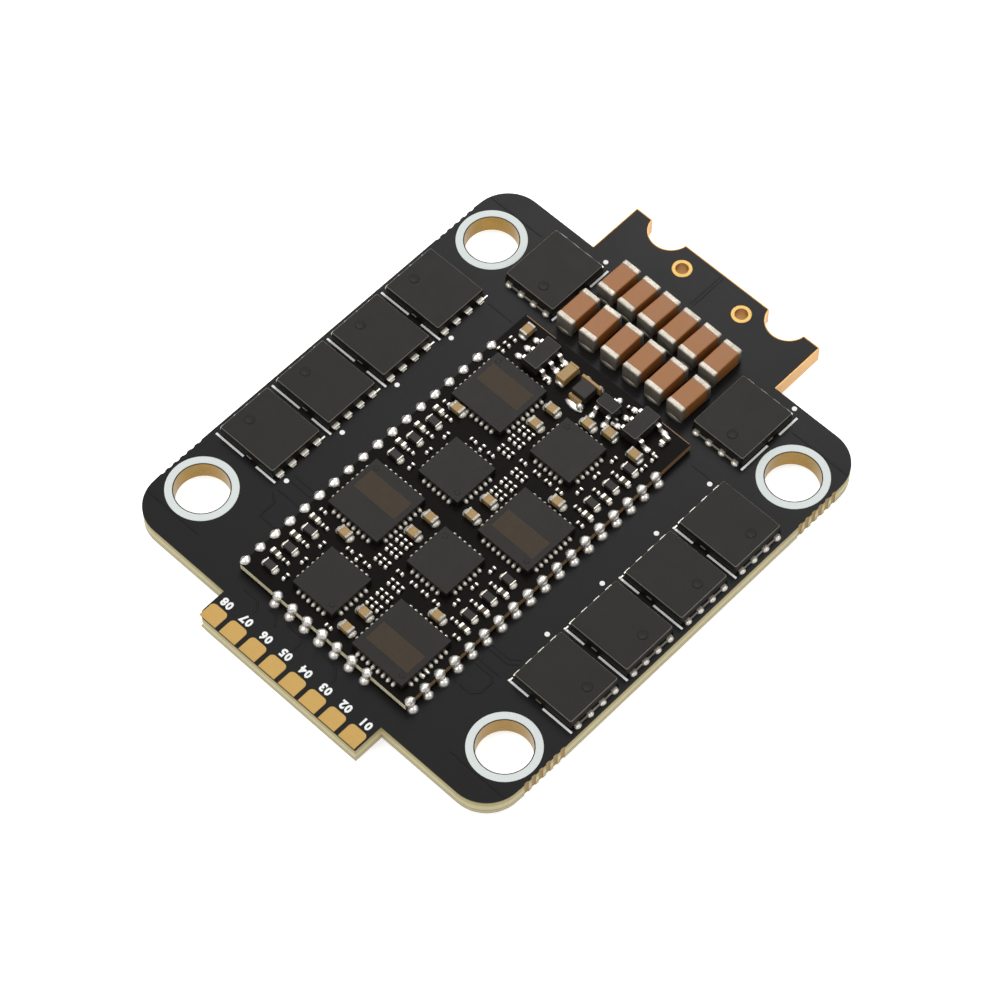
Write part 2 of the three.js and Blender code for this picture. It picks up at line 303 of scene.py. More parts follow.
def from_bmesh(bm, kind=0, smooth=False, kind_of=None):
    bmesh.ops.recalc_face_normals(bm, faces=bm.faces[:])
    form = Form()
    bm.verts.ensure_lookup_table()
    bm.verts.index_update()
    form.points = [v.co.copy() for v in bm.verts]
    for face in bm.faces:
        form.faces.append(tuple(v.index for v in face.verts))
        form.kinds.append(kind_of(face) if kind_of else kind)
        form.smooth.append(smooth)
    bm.free()
    return form


@functools.lru_cache(maxsize=None)
def block(size, bevel=0.04, draft=0.0, kind=0, segments=2, lift=0.0):
    """A rounded block that stands on z = lift. draft is how far its top draws in on each side."""
    bm = bmesh.new()
    bmesh.ops.create_cube(bm, size=1)
    for v in bm.verts:
        inset = draft if v.co.z > 0 else 0
        v.co.x = math.copysign(size[0] / 2 - inset, v.co.x)
        v.co.y = math.copysign(size[1] / 2 - inset, v.co.y)
        v.co.z = lift + (size[2] if v.co.z > 0 else 0)
    if bevel:
        bmesh.ops.bevel(bm, geom=bm.edges[:], offset=bevel, segments=segments, profile=0.5, affect="EDGES")
    return from_bmesh(bm, kind)


@functools.lru_cache(maxsize=None)
def moulding(size, draft, edge, lift, kind=0, highlight_kind=0, corner=0.08):
    """A moulded body on z = lift whose sides draw in by draft and whose top edge is a narrow bevel. The
    bevel's faces take a material number of their own, which carries a painted highlight.
    """
    bm = bmesh.new()
    length, width, height = size
    rings = []
    for inset, z in ((0, lift), (draft, lift + height - edge), (draft + edge, lift + height)):
        x, y = length / 2 - inset, width / 2 - inset
        turns = ((x, y - corner), (x - corner, y), (corner - x, y), (-x, y - corner))
        turns += ((-x, corner - y), (corner - x, -y), (x - corner, -y), (x, corner - y))
        rings.append([bm.verts.new((a, b, z)) for a, b in turns])
    bevelled = set()
    for low, high in zip(rings, rings[1:]):
        for i in range(8):
            face = bm.faces.new([low[i - 1], low[i], high[i], high[i - 1]])
            if high is rings[2]:
                bevelled.add(face)
    bm.faces.new(rings[0][::-1])
    bm.faces.new(rings[2])
    return from_bmesh(bm, kind_of=lambda face: highlight_kind if face in bevelled else kind)


@functools.lru_cache(maxsize=None)
def revolve(profile, sides=16, kind=0, smooth=True, half=False):
    """A profile of (radius, height) points, which starts and ends on the axis or closes on itself. half
    makes only the half towards -X, closed by a flat face."""
    bm = bmesh.new()
    rings = []
    for radius, height in profile:
        if radius == 0:
            rings.append([bm.verts.new((0, 0, height))])
            continue
        turn = [math.pi * (0.5 + i / (sides - 1)) if half else 2 * math.pi * i / sides for i in range(sides)]
        rings.append([bm.verts.new((radius * math.cos(a), radius * math.sin(a), height)) for a in turn])
    closed = profile[0][0] > 0
    pairs = list(zip(rings, rings[1:] + rings[:1])) if closed else list(zip(rings, rings[1:]))
    for low, high in pairs:
        for i in range(sides):
            j = (i + 1) % sides
            corners = [low[i % len(low)], low[j % len(low)], high[j % len(high)], high[i % len(high)]]
            bm.faces.new(list(dict.fromkeys(corners)))
    return from_bmesh(bm, kind, smooth)


def sweep(path, section, kind=0, closed=False, smooth=False):
    """A section of (across, up) points carried along a flat path of (x, y, z) points."""
    bm = bmesh.new()
    points = [Vector(p) for p in path]
    count = len(points)
    rings = []
    for i, point in enumerate(points):
        before = points[i - 1] if i or closed else point
        after = points[(i + 1) % count] if i < count - 1 or closed else point
        first = (point - before).normalized() if point != before else (after - point).normalized()
        second = (after - point).normalized() if point != after else first
        along = (first + second).normalized()
        across = Vector((-along.y, along.x, 0))
        widen = 1 / max(0.5, abs(across.dot(Vector((-first.y, first.x, 0)))))
        rings.append([bm.verts.new(point + across * a * widen + Vector((0, 0, up))) for a, up in section])
    pairs = zip(rings, rings[1:] + rings[:1]) if closed else zip(rings, rings[1:])
    for low, high in pairs:
        for i in range(len(section)):
            j = (i + 1) % len(section)
            bm.faces.new([low[i], low[j], high[j], high[i]])
    if not closed:
        bm.faces.new(rings[0])
        bm.faces.new(rings[-1][::-1])
    return from_bmesh(bm, kind, smooth)


def crosses(point, a, b):
    """Whether a ray from the point along +X crosses the edge from a to b."""
    if (a.y > point.y) == (b.y > point.y):
        return False
    return point.x < a.x + (b.x - a.x) * (point.y - a.y) / (b.y - a.y)


def plate(loops, low, high, kind_of):
    """A flat plate between two heights, from its outline and the outlines of its holes."""
    corners, edges = [], []
    for loop in loops:
        start, count = len(corners), len(loop)
        corners += [Vector(point) for point in loop]
        edges += [(start + i, start + (i + 1) % count) for i in range(count)]
    flat, _, faces, *_ = delaunay_2d_cdt(corners, edges, [], 1, 1e-5)
    bm = bmesh.new()
    bottom = [bm.verts.new((*point, low)) for point in flat]
    top = [bm.verts.new((*point, high)) for point in flat]
    rims = {}  # edges that only one face has so far, kept in order so that every run gives the same mesh
    for face in faces:
        middle = sum((flat[i] for i in face), Vector((0, 0))) / len(face)
        if not sum(crosses(middle, corners[a], corners[b]) for a, b in edges) % 2:
            continue
        bm.faces.new([bottom[i] for i in reversed(face)])
        bm.faces.new([top[i] for i in face])
        for a, b in zip(face, face[1:] + face[:1]):
            if (b, a) in rims:
                del rims[b, a]
            else:
                rims[a, b] = True
    for a, b in rims:
        bm.faces.new([bottom[a], bottom[b], top[b], top[a]])
    bm.normal_update()
    return from_bmesh(bm, kind_of=kind_of)


def arc(x, y, radius, start, end, steps):
    """Points on an arc, by degrees, both ends included."""
    angles = [math.radians(start + (end - start) * i / steps) for i in range(steps + 1)]
    return [(x + radius * math.cos(a), y + radius * math.sin(a)) for a in angles]


def circle(x, y, radius, steps=64):
    return arc(x, y, radius, 0, 360, steps)[:-1]


def make_piece(form, name, slot, materials, replaces=()):
    """A Blender object from a form, riding on the one body and standing for the given CAD nodes."""
    mesh = bpy.data.meshes.new(name)
    mesh.from_pydata([tuple(c * MM for c in p) for p in form.points], [], form.faces)
    for material in materials:
        mesh.materials.append(material)
    mesh.polygons.foreach_set("material_index", form.kinds)
    mesh.polygons.foreach_set("use_smooth", form.smooth)
    mesh.update()
    piece = bpy.data.objects.new(name, mesh)
    bpy.context.scene.collection.objects.link(piece)
    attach(piece, "root")
    if replaces:
        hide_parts(*replaces)
    return piece


# ---- Small shared forms ----

DOME = ((0, -0.02), (1, -0.02), (0.98, 0.2), (0.88, 0.47), (0.71, 0.7), (0.49, 0.87), (0.25, 0.97), (0, 1))


@functools.lru_cache(maxsize=None)
def dome(kind=0, sides=10):
    """A unit blob of solder: radius 1, height 1, with a thin skirt, standing on z = 0."""
    return revolve(DOME, sides, kind)


def blob(form, x, y, z, length, width, height, kind):
    """Adds a solder blob of a given length along X, width and height."""
    form.add(dome(kind), at(x, y, z, 0, False, (length / 2, width / 2, height)))


# ---- Power board ----


BITES = ((-16.6, -12.2), (12.2, 16.6))  # where tabs along both long edges were snapped off
BITE_PITCH = 0.72


def bitten(start, end, line, out):
    """Points up or down a long edge with a row of small half-round bites."""
    radius, reach = 0.22, 0.08
    count = int(abs(end - start) / BITE_PITCH)
    step = (end - start) / count
    points = []
    for i in range(count):
        middle = start + (i + 0.5) * step
        for k in range(7):
            a = math.pi * k / 6
            travel = middle - math.copysign(radius, step) * math.cos(a)
            points.append((line + out * (0.03 - reach * math.sin(a)), travel))
    return points


def power_tab_outline():
    """The power tab's outline with its two battery notches, from +X to -X."""
    nx, ny, nr = NOTCH
    dip = math.degrees(math.asin((ny - POWER_END) / nr))
    points = [(POWER_HALF, HALF_LENGTH), (POWER_HALF, POWER_END)]
    for side in (1, -1):
        points += arc(side * nx, ny, nr, -dip, -180 + dip, 20)
    return points + [(-POWER_HALF, POWER_END), (-POWER_HALF, HALF_LENGTH)]


def board_outline():
    """The power board's outline, anticlockwise from its lower right corner."""
    x, y, r = HALF_WIDTH - 0.06, HALF_LENGTH, CORNER
    points = [point for start, end in BITES for point in bitten(start, end, x, 1)]
    points += arc(x - r, y - r, r, 0, 90, 12)
    points += power_tab_outline()
    points += arc(-x + r, y - r, r, 90, 180, 12)
    points += [point for start, end in reversed(BITES) for point in bitten(end, start, -x, -1)]
    points += arc(-x + r, -y + r, r, 180, 270, 12)
    points += [(-SIGNAL_HALF, -y)]
    points += arc(-SIGNAL_HALF + 0.6, SIGNAL_END + 0.6, 0.6, 180, 270, 5)
    points += [(SIGNAL_HALF, SIGNAL_END), (SIGNAL_HALF, -y)]
    points += arc(x - r, -y + r, r, 270, 360, 12)
    return points


def make_power_board():
    """Laminate between two thin layers of solder mask, with plated holes and a plated power tab."""
    mask, wall, plated, barrel, bite = 0, 1, 2, 3, 4

    def kind_of(face):
        if abs(face.normal.z) > 0.5:
            return mask
        middle = face.calc_center_median()
        to_hole = math.hypot(abs(middle.x) - HOLE, abs(middle.y) - HOLE)
        # The mounting holes' walls take the darkened plating, which is painted shade.
        if to_hole < HOLE_RADIUS + 0.1:
            return barrel
        if middle.y > HALF_LENGTH + 0.05:
            return plated
        bites = abs(middle.x) < HALF_WIDTH - 0.04 and any(a < middle.y < b for a, b in BITES)
        return bite if bites and abs(middle.x) > HALF_WIDTH - 0.3 else wall

    holes = [circle(sx * HOLE, sy * HOLE, HOLE_RADIUS) for sx in (-1, 1) for sy in (-1, 1)]
    holes += [circle(side * VIA[0], VIA[1], VIA[2], 24) for side in (-1, 1)]
    loops = [board_outline(), *holes]
    form = plate(loops, UNDER, TOP, kind_of)
    make_piece(form, "power_board", "board_mask", [MASK, LAMINATE, COPPER, SHADED_HOLE_PLATING, BITE], ["main_board"])
    section = ((0, -0.01), (0.08, -0.01), (0.08, 0.01), (0.06, 0.02), (0, 0.02))
    rim = sweep([(x, y, TOP) for x, y in power_tab_outline()], section)
    make_piece(rim, "power_tab_rim", "gold_plating", [COPPER])


TRACE = ((-0.5, 0.0), (-0.32, 1.0), (0.32, 1.0), (0.5, 0.0))  # section of a covered track, unit size


def make_tracks():
    """Copper tracks under the mask, which show as low ridges."""
    tracks = [
        [(9.0, -9.95), (10.7, -9.95), (11.4, -9.4)],
        [(9.0, -10.35), (10.9, -10.35), (11.5, -9.8)],
        [(9.0, -11.45), (11.2, -11.45)],
        [(9.0, -11.85), (10.8, -11.85), (11.1, -12.2), (11.1, -13.3), (10.6, -13.85), (9.0, -13.85)],
        [(-11.2, -9.8), (-9.0, -9.8)],
        [(-11.3, -10.3), (-9.0, -10.3)],
        [(-11.2, -11.45), (-9.0, -11.45)],
        [(-11.3, -11.9), (-10.6, -12.4), (-10.6, -13.9), (-9.0, -13.9)],
        [(-7.0, -19.0), (-5.6, -19.0), (-5.1, -19.5), (-5.1, -20.0)],
        [(-4.6, -18.9), (-3.8, -18.9), (-3.2, -19.6)],
        [(-2.6, -18.9), (-1.2, -18.9), (-0.9, -19.3), (-0.9, -20.1)],
        [(0.9, -18.9), (2.2, -18.9), (2.9, -19.6), (2.9, -20.1)],
        [(9.2, 10.9), (11.4, 10.9)],
        [(-11.4, 10.9), (-9.0, 10.9)],
        [(12.7, 18.1), (18.0, 18.1)],
        [(-18.0, 18.1), (-12.7, 18.1)],
        [(-18.0, -18.1), (-12.7, -18.1)],
        [(12.7, -18.1), (18.0, -18.1)],
    ]
    width, height = 0.17, 0.035
    section = [(a * width, up * height) for a, up in TRACE]
    form = Form()
    for track in tracks:
        form.add(sweep([(x, y, TOP - 0.003) for x, y in track], section))
    for gap in (-0.14, 0.14):
        form.add(sweep([(gap - 0.3, y, TOP - 0.003) for y in (21.4, 24.7)], section))
    make_piece(form, "mask_ridges", "board_mask", [MASK])


def ring_form(x, y, inner, outer, low, high, steps=64):
    profile = ((inner, low), (outer, low), (outer, high - 0.01), (outer - 0.02, high), (inner + 0.02, high))
    return Form().add(revolve(profile + ((inner, high - 0.01),), steps, 0, False), at(x, y))


def make_rings():
    white, gold = Form(), Form()
    for sx in (-1, 1):
        for sy in (-1, 1):
            x, y = sx * HOLE, sy * HOLE
            white.add(ring_form(x, y, RING_INNER, RING_OUTER, TOP - 0.01, TOP + 0.025))
            gold.add(ring_form(x, y, HOLE_RADIUS, RING_OUTER, UNDER - PAD, UNDER + 0.01))
        x, y, hole, ring = VIA
        gold.add(ring_form(sx * x, y, hole, ring, TOP - 0.01, TOP + 0.03, 32))
        gold.add(ring_form(sx * x, y, hole, ring, UNDER - PAD, UNDER + 0.01, 32))
    make_piece(white, "hole_rings", "printed_white", [PRINT])
    make_piece(gold, "plated_rings", "gold_plating", [GOLD])


@functools.lru_cache(maxsize=None)
def pad_form(width, length, round_near, round_far, height=PAD):
    """A flat pad with its corners rounded at either end, centred, standing on z = 0."""
    hx, hy = width / 2, length / 2
    points = []
    corners = [(1, 1, 0, round_near), (-1, 1, 90, round_near)]
    corners += [(-1, -1, 180, round_far), (1, -1, 270, round_far)]
    for sx, sy, start, r in corners:
        points += arc(sx * (hx - r), sy * (hy - r), r, start, start + 90, 5) if r else [(sx * hx, sy * hy)]
    return plate([points], 0, height, lambda face: 0)


def make_pads():
    """Bare gold-plated copper: signal pads on both faces, motor and battery pads underneath."""
    pads = Form()
    length = 1.42
    y = SIGNAL_END + 0.04 + length / 2
    for x in SIGNAL_XS:
        pads.add(pad_form(1.6, length, 0.35, 0), at(x, y, TOP - 0.01))
        pads.add(pad_form(1.6, length, 0.35, 0), at(x, y, UNDER, 180, True))
    make_piece(pads, "signal_pads", "gold_plating", [GOLD])

    under = Form()
    for side in (-1, 1):
        for y in MOTOR_YS:
            under.add(pad_form(3.1, 2.8, 0.3, 0.3), at(side * 16.55, y, UNDER, 0, True))
        nx, ny, nr = NOTCH
        top_y, low_y = POWER_END - 0.15, 20.4
        reach = math.degrees(math.asin((ny - top_y) / (nr + 0.05)))
        outline = [(side * 0.6, low_y), (side * 9.0, low_y), (side * 9.0, top_y)]
        scoop = arc(side * nx, ny, nr + 0.05, -reach, -180 + reach, 16)
        outline += scoop if side > 0 else scoop[::-1]
        outline += [(side * 0.6, top_y)]
        via = circle(side * VIA[0], VIA[1], VIA[3] + 0.25, 32)
        under.add(plate([outline, via], UNDER - PAD, UNDER + 0.01, lambda face: 0))
    under.add(pad_form(4.0, 18.0, 0.3, 0.3), at(0, 0, UNDER, 0, True))
    make_piece(under, "underside_pads", "gold_plating", [GOLD])


def number_form(text, height, thickness):
    """A printed number as a form, centred on the origin and lying on z = 0."""
    curve = bpy.data.curves.new("number", "FONT")
    curve.body = text
    curve.size = height / 0.73
    curve.extrude = thickness / 2
    curve.resolution_u = 2
    curve.offset = 0.04
    curve.space_character = 1.15
    curve.align_x = "CENTER"
    holder = bpy.data.objects.new("number", curve)
    bpy.context.scene.collection.objects.link(holder)
    graph = bpy.context.evaluated_depsgraph_get()
    mesh = bpy.data.meshes.new_from_object(holder.evaluated_get(graph))
    form = Form()
    form.points = [v.co + Vector((0, -height / 2, thickness / 2)) for v in mesh.vertices]
    form.faces = [tuple(p.vertices) for p in mesh.polygons]
    form.kinds = [0] * len(form.faces)
    form.smooth = [False] * len(form.faces)
    bpy.data.objects.remove(holder)
    bpy.data.curves.remove(curve)
    bpy.data.meshes.remove(mesh)
    return form


def make_pin_numbers():
    """Plain pin numbers in place of the printed labels, read from the board's middle."""
    form = Form()
    for i, x in enumerate(SIGNAL_XS):
        form.add(number_form(f"0{8 - i}", 0.66, 0.02), at(x, -20.7, TOP, 180))
    make_piece(form, "pin_numbers", "printed_white", [BRIGHT_PRINT])


# ---- Power transistors: the pins face local +X, pin 1 is at local -Y ----

LEAD_YS = [-1.905 + 1.27 * i for i in range(4)]


def mosfet_form(toe):
    """A moulded package with four pins, whose ends show by toe, and the drain's four opposite."""
    # edge is the material number of the top edge's bevel, a lighter grey that is a painted highlight.
    body, tin, solder, edge = 0, 1, 2, 3
    form = Form()
    form.add(block((5.6, 4.94, 0.34), 0.02, 0.0, body, 1, 0.03))
    form.add(moulding((5.6, 4.94, 0.6), 0.06, 0.035, 0.35, body, edge))
    dimple = revolve(((0, 0), (0.4, 0), (0.4, 0.02), (0.33, 0.02), (0.27, 0.003), (0, 0.003)), 24, body)
    form.add(dimple, at(-1.65, -0.45, 0.95))
    for y in LEAD_YS:
        form.add(block((toe + 0.1, 0.64, 0.12), 0.03, 0, solder, 2, 0.14), at(2.75 + toe / 2, y))
        form.add(block((0.24, 0.46, 0.12), 0.04, 0, solder, 3, -0.01), at(2.75 + toe, y))
        form.add(block((0.14, 0.5, 0.2), 0.04, 0, solder, 3, -0.01), at(2.9, y))
        form.add(block((0.2, 0.5, 0.22), 0.03, 0, tin, 2, 0.04), at(-2.86, y))
        blob(form, -3.0, y, 0, 0.42, 0.62, 0.2, kind=solder)
    form.add(block((0.14, 4.4, 0.14), 0.02, 0, tin, 1), at(-2.92, 0))
    form.add(block((0.14, 0.4, 0.1), 0.03, 0, solder, 2), at(2.96, 2.5))
    for side in (-1, 1):
        form.add(block((0.5, 0.1, 0.1), 0.01, 0, tin, 1, 0.16), at(0.3, side * 2.48))
    return form


def mosfet_print(side):
    """The printed outline beside a package, on its local -Y side or +Y side, and its first pin's dot."""
    form = Form()
    spans = ((-3.05, -0.15), (1.15, 3.15)) if side < 0 else ((-3.05, -0.25), (1.15, 3.1))
    for start, end in spans:
        form.add(block((end - start, 0.18, 0.025), 0.01, 0, 0, 1), at((start + end) / 2, side * 2.62))
    dot = revolve(((0, 0), (0.2, 0), (0.2, 0.02), (0.17, 0.028), (0, 0.028)), 20, 0, False)
    return form.add(dot, at(3.62, -1.93))


def make_mosfets():
    left, right = mosfet_form(0.31), mosfet_form(0.24)
    lines = Form()
    for name in sorted(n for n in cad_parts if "mosfet" in n):
        low, high = node_box(name)
        middle = (low + high) / 2
        below = name.startswith("lower")
        upright = high.y - low.y > high.x - low.x
        turn = 90 if upright else (0 if middle.x < 0 else 180)
        height = UNDER if below else TOP
        form = Form().add(right if turn == 180 else left, at(middle.x, middle.y, height, turn, below))
        make_piece(form, name + "_package", "moulded_package", [MOULDED, TIN, DULL_SOLDER, EDGE], [name])
        printed = mosfet_print(1 if turn == 180 and not below else -1)
        squeeze = 0.95 if below else 1
        lines.add(printed, at(middle.x, middle.y, height, turn, below, (1, squeeze, 1)))
    make_piece(lines, "package_prints", "printed_white", [BRIGHT_PRINT])


# ---- Ceramic chips ----


@functools.lru_cache(maxsize=None)
def chip_form(size, end, spread, end_kind=1, bevel=0.03, rise=0.6):
    """A chip along X with metal ends, on pads that reach past it by spread."""
    body, solder = 0, 2
    length, width, height = size
    form = Form()
    form.add(block((length - 1.6 * end, width * 0.96, height * 0.97), bevel, 0, body, 2, 0.02))
    for side in (-1, 1):
        form.add(block((end, width, height), bevel, 0, end_kind, 3, 0.02), at(side * (length - end) / 2, 0))
        blob(form, side * (length / 2), 0, 0, 2 * spread, width * 1.1, height * rise, kind=solder)
    return form


def make_input_capacitors():
    """Large ceramic capacitors, each a little out of line as it was soldered."""
    chip = Form().add(block((2.5, 1.54, 1.55), 0.09, 0, 0, 3, 0.03))
    for side in (-1, 1):
        chip.add(block((0.5, 1.6, 1.58), 0.12, 0, 1, 4, 0.02), at(side * 1.35, 0))
        blob(chip, side * 1.5, 0, 0, 0.56, 1.66, 0.26, kind=1)
    for name in sorted(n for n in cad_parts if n.startswith("input_capacitor")):
        middle = node_centre(name)
        turn = 90 + dice.uniform(-1.6, 1.6)
        shift = dice.uniform(-0.04, 0.04)
        form = Form().add(chip, at(middle.x + shift, middle.y - shift, TOP, turn))
        make_piece(form, name + "_chip", "capacitor_ceramic", [CERAMIC, CAP_END_WITH_PAINTED_SHADE], [name])


# ---- Control board ----

HALF_HOLES = 18
HALF_HOLE_PITCH = 1.5
HALF_HOLE_TOP = 7.95
HALF_HOLE_RADIUS = 0.3
END_XS = [-4.5 + 1.5 * i for i in range(7)]


def half_hole_places():
    """Centre and outward direction, in degrees, of each plated half-hole."""
    places = []
    for i in range(HALF_HOLES):
        y = HALF_HOLE_TOP - HALF_HOLE_PITCH * i
        places += [(MODULE_LOW.x, y, 180), (MODULE_HIGH.x, y, 0)]
    return places + [(x, MODULE_LOW.y, 270) for x in END_XS]


def control_outline():
    """Anticlockwise from the lower left corner, with a half-round bite at each half-hole."""
    low, high, r = MODULE_LOW, MODULE_HIGH, HALF_HOLE_RADIUS
    points = [(low.x, low.y)]
    for x in END_XS:
        points += arc(x, low.y, r, 180, 0, 8)
    points += [(high.x, low.y)]
    ys = [HALF_HOLE_TOP - HALF_HOLE_PITCH * i for i in range(HALF_HOLES)]
    for y in reversed(ys):
        points += arc(high.x, y, r, 270, 90, 8)
    points += [(high.x, high.y), (low.x, high.y)]
    for y in ys:
        points += arc(low.x, y, r, 90, -90, 8)
    return points


def make_control_board():
    mask, wall, brown, plated = 0, 1, 2, 3
    gap = 0.22
    places = half_hole_places()

    def kind_of(face):
        if abs(face.normal.z) > 0.5:
            return mask
        middle = face.calc_center_median()
        if min(math.hypot(middle.x - x, middle.y - y) for x, y, _ in places) < HALF_HOLE_RADIUS + 0.01:
            return plated
        return brown if abs(face.normal.x) > 0.5 else wall

    form = plate([control_outline()], TOP + gap, MODULE_TOP, kind_of)
    size = MODULE_HIGH - MODULE_LOW
    middle = (MODULE_HIGH + MODULE_LOW) / 2
    form.add(block((size.x - 0.9, size.y - 0.9, gap + 0.02), 0, 0, mask), at(middle.x, middle.y, TOP))
    for start, end in ((MODULE_LOW.x + 0.1, -5.2), (4.5, MODULE_HIGH.x - 0.1)):
        rim = block((end - start, 0.06, 0.02), 0.01, 0, brown, 1)
        form.add(rim, at((start + end) / 2, MODULE_HIGH.y - 0.07, MODULE_TOP - 0.005))
    materials = [MODULE_MASK, TAB_EDGE, BROWN_EDGE, COPPER]
    make_piece(form, "control_board_laminate", "control_mask", materials, ["control_board"])


def half_hole_joint(spread):
    """Solder that mounds over a half-hole, fills it and spreads out below. Outward is local +X."""
    form = Form()
    thickness = MODULE_TOP - TOP
    form.add(revolve(DOME, 13, 0, True, True), at(0.1, 0, thickness - 0.01, 0, False, (0.56, 0.47, 0.3)))
    form.add(revolve(DOME, 14), at(0.08, 0, thickness - 0.24, 0, False, (0.22, 0.43, 0.48)))
    neck = ((0, 0), (0.33, 0), (0.29, 0.25), (0.27, 0.55), (0.3, 0.8), (0, 0.8))
    form.add(revolve(tuple((r, z * thickness / 0.8) for r, z in neck), 14), at(0.08, 0))
    form.add(revolve(DOME, 14), at(spread - 0.46, 0, 0, 0, False, (0.46, 0.46, 0.42)))
    return form


def make_half_hole_solder():
    wide, narrow = half_hole_joint(0.76), half_hole_joint(0.42)
    form = Form()
    for x, y, out in half_hole_places():
        wobble = dice.uniform(-5, 5)
        size = (dice.uniform(0.94, 1.06), dice.uniform(0.94, 1.06), 1)
        form.add(narrow if out == 180 else wide, at(x, y, TOP, out + wobble, False, size))
    make_piece(form, "half_hole_solder", "solder", [SOLDER])


# ---- Leadless chips ----


def quad_form(side, pins, marked):
    """A flat leadless package with a row of solder toes along each side."""
    body, tin, solder, lasered = 0, 1, 2, 3
    form = Form()
    form.add(block((side, side, 0.56), 0.025, 0.0, body, 2, 0.04))
    dimple = revolve(((0, 0), (0.2, 0), (0.22, 0.006), (0.18, 0.006), (0, 0.002)), 16, body)
    form.add(dimple, at(-side / 2 + 0.6, side / 2 - 0.6, 0.6))
    if marked:
        form.add(block((4.1, 1.82, 0.008), 0.003, 0, lasered, 1), at(0, 0.61, 0.597))
    for quarter in range(4):
        for i in range(pins):
            along = (i - (pins - 1) / 2) * 0.5
            turn = at(0, 0, 0, 90 * quarter)
            form.add(block((0.08, 0.24, 0.2), 0.01, 0, tin, 1, 0.03), turn @ at(side / 2, along))
            toe = at(side / 2 + 0.13, along, 0, 0, False, (0.21, 0.165, 0.22))
            form.add(dome(solder), turn @ toe)
    return form


def make_quads():
    mcu, driver = quad_form(5.0, 8, True), quad_form(4.0, 6, False)
    for prefix, package in (("microcontroller", mcu), ("gate_driver", driver)):
        for channel in range(1, 5):
            name = f"{prefix}_{channel}"
            middle = node_centre(name)
            turn = 0 if channel % 2 else 180
            form = Form().add(package, at(middle.x, middle.y, MODULE_TOP, turn))
            make_piece(form, name + "_package", "chip_package", [CHIP, TIN, DULL_SOLDER, MARKED], [name])


# ---- Supply parts ----


def gull_wing_form(width, length, span, left, right):
    """A small package with bent leads on its two long sides, on solder pads."""
    # edge is the material number of the top edge's bevel, a lighter grey that is a painted highlight.
    body, tin, solder, edge = 0, 1, 2, 3
    height = 1.05
    form = Form()
    form.add(block((width, length, height * 0.4), 0.03, 0, body, 2, 0.1))
    form.add(moulding((width, length, height * 0.5), 0.07, 0.03, height * 0.5, body, edge))
    for side, rows in ((-1, left), (1, right)):
        for y in rows:
            out = span / 2 - width / 2
            upper = block((out * 0.5, 0.34, 0.14), 0.03, 0, tin, 2, 0.42)
            foot = block((out * 0.6, 0.34, 0.14), 0.03, 0, tin, 2, 0.03)
            form.add(upper, at(side * (width / 2 + out * 0.18), y))
            form.add(block((0.14, 0.34, 0.5), 0.03, 0, tin, 2, 0.06), at(side * (width / 2 + out * 0.42), y))
            form.add(foot, at(side * (span / 2 - out * 0.25), y))
            form.add(block((0.3, 0.34, 0.1), 0.03, 0, solder, 2, 0.5), at(side * (width / 2 + out * 0.2), y))
            blob(form, side * (span / 2 + 0.06), y, 0, 0.76, 0.56, 0.2, kind=solder)
    return form


def make_supply_parts():
    rows3, rows2 = (-0.95, 0, 0.95), (-0.95, 0.95)
    packages = {
        "buck_converter": gull_wing_form(1.5, 2.9, 2.8, rows3, rows3),
        "linear_regulator": gull_wing_form(1.5, 2.9, 2.8, rows3, rows2),
        "supply_transistor": gull_wing_form(1.2, 1.8, 2.1, (0,), (-0.6, 0.6)),
    }
    for name, package in packages.items():
        middle = node_centre(name)
        turn = 270 if name == "supply_transistor" else 0
        form = Form().add(package, at(middle.x, middle.y, MODULE_TOP, turn))
        make_piece(form, name + "_package", "chip_package", [CHIP, TIN, SOLDER, EDGE], [name])

    middle = node_centre("power_inductor")
    form = Form().add(block((1.3, 1.35, 0.9), 0.06, 0, 0, 2, 0.03))
    form.add(block((0.26, 1.9, 0.84), 0.06, 0, 1, 3, 0.02), at(0.84, 0))
    form.add(block((0.26, 1.2, 0.5), 0.07, 0, 1, 3, 0.02), at(-0.82, 0.1))
    for y in (-0.62, 0.62):
        blob(form, 1.04, y, 0, 0.7, 0.86, 0.56, kind=2)
    blob(form, -1.2, -0.1, 0, 0.7, 1.75, 0.26, kind=2)
    blob(form, -1.05, -0.55, 0, 0.7, 0.7, 0.5, kind=2)
    placed = Form().add(form, at(middle.x, middle.y, MODULE_TOP, 90))
    make_piece(placed, "power_inductor_chip", "ferrite", [FERRITE, TAN, SOLDER], ["power_inductor"])

    for name in ("buck_capacitor", "supply_capacitor_1", "supply_capacitor_2", "supply_capacitor_3"):
        low, high = node_box(name)
        middle = (low + high) / 2
        upright = high.y - low.y > high.x - low.x
        long, wide = (high.y - low.y, high.x - low.x) if upright else (high.x - low.x, high.y - low.y)
        chip = chip_form((long, wide, high.z - low.z), 0.22, 0.22, bevel=0.05, rise=0.4)
        form = Form().add(chip, at(middle.x, middle.y, MODULE_TOP, 90 if upright else 0))
        ends = TAN if name == "buck_capacitor" else TIN
        make_piece(form, name + "_chip", "tan_ceramic", [TAN, ends, SOLDER], [name])


# ---- Small parts of the control board ----


